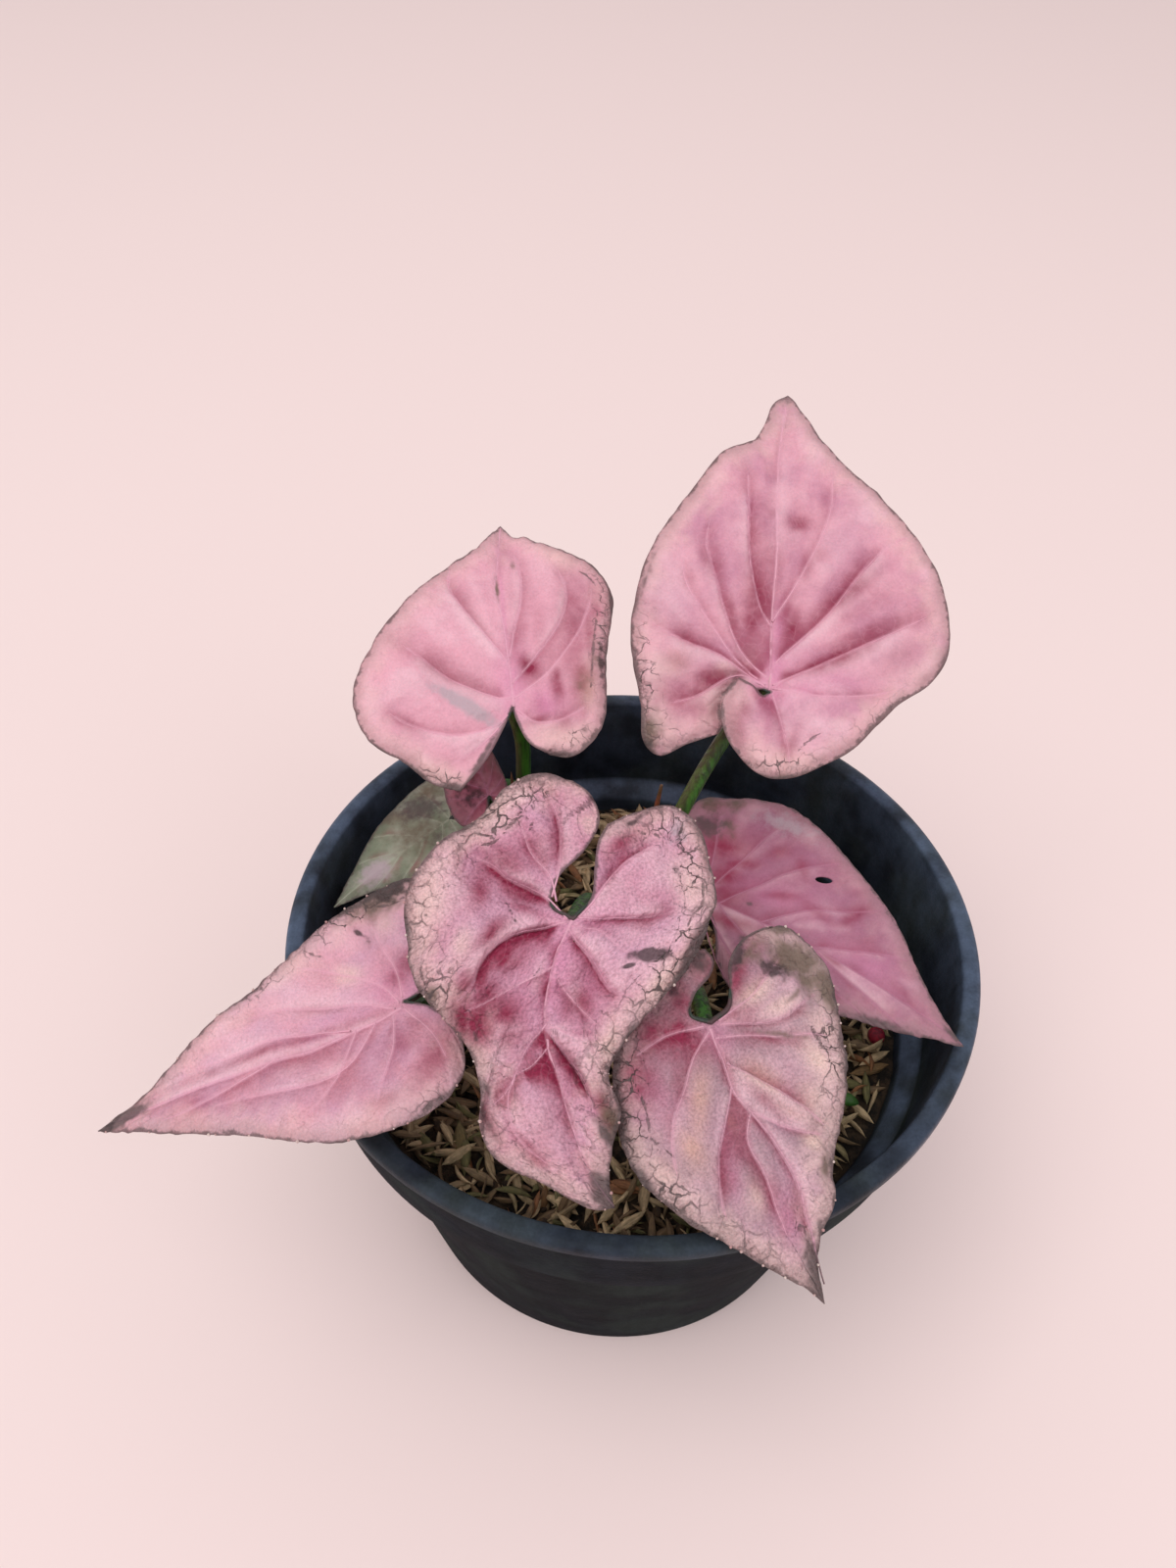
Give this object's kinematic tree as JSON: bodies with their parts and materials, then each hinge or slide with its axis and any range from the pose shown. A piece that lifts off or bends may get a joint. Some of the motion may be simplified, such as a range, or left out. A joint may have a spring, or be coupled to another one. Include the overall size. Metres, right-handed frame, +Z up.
{
  "type": "potted syngonium",
  "caption": "Pink-leaved syngonium with heart-shaped puckered blades on green stalks, growing in a round black nursery pot filled with husky potting mix.",
  "frame": {"origin": "centre of the pot's flat base, on the surface it stands on", "axes": "+Z up out of the pot, -Y towards the front of the plant, +X to the viewer's right"},
  "size_m": [0.1741, 0.1668, 0.181],
  "materials": {
    "pot_plastic": "satin black moulded nursery-pot plastic",
    "potting_mix": "rough, rice husks over dark crumbly mix",
    "stalk_green": "smooth waxy green, brownish on one side",
    "blade_pink": "fine pebbled satin pink with a thin dark margin",
    "blade_rose": "puckered satin rose with grey-green margin",
    "blade_dusty": "dusty mauve with cream and olive blotches",
    "blade_shaded": "satin mauve-pink",
    "blade_sage": "aged sage green with olive-brown patches",
    "shoot_brown": "satin reddish brown",
    "granule_red": "matte dyed granule"
  },
  "bodies": {
    "root": {"pot": "pot_plastic", "potting_mix": "potting_mix", "stalks_front": "stalk_green", "stalks_back": "stalk_green", "blade_back_right": "blade_pink", "blade_back_left": "blade_pink", "blade_middle": "blade_rose", "blade_left": "blade_pink", "blade_front_right": "blade_dusty", "blade_right": "blade_shaded", "blade_old": "blade_sage", "blade_young": "blade_shaded", "new_shoot": "shoot_brown", "feed_granule": "granule_red"}
  },
  "joints": []
}
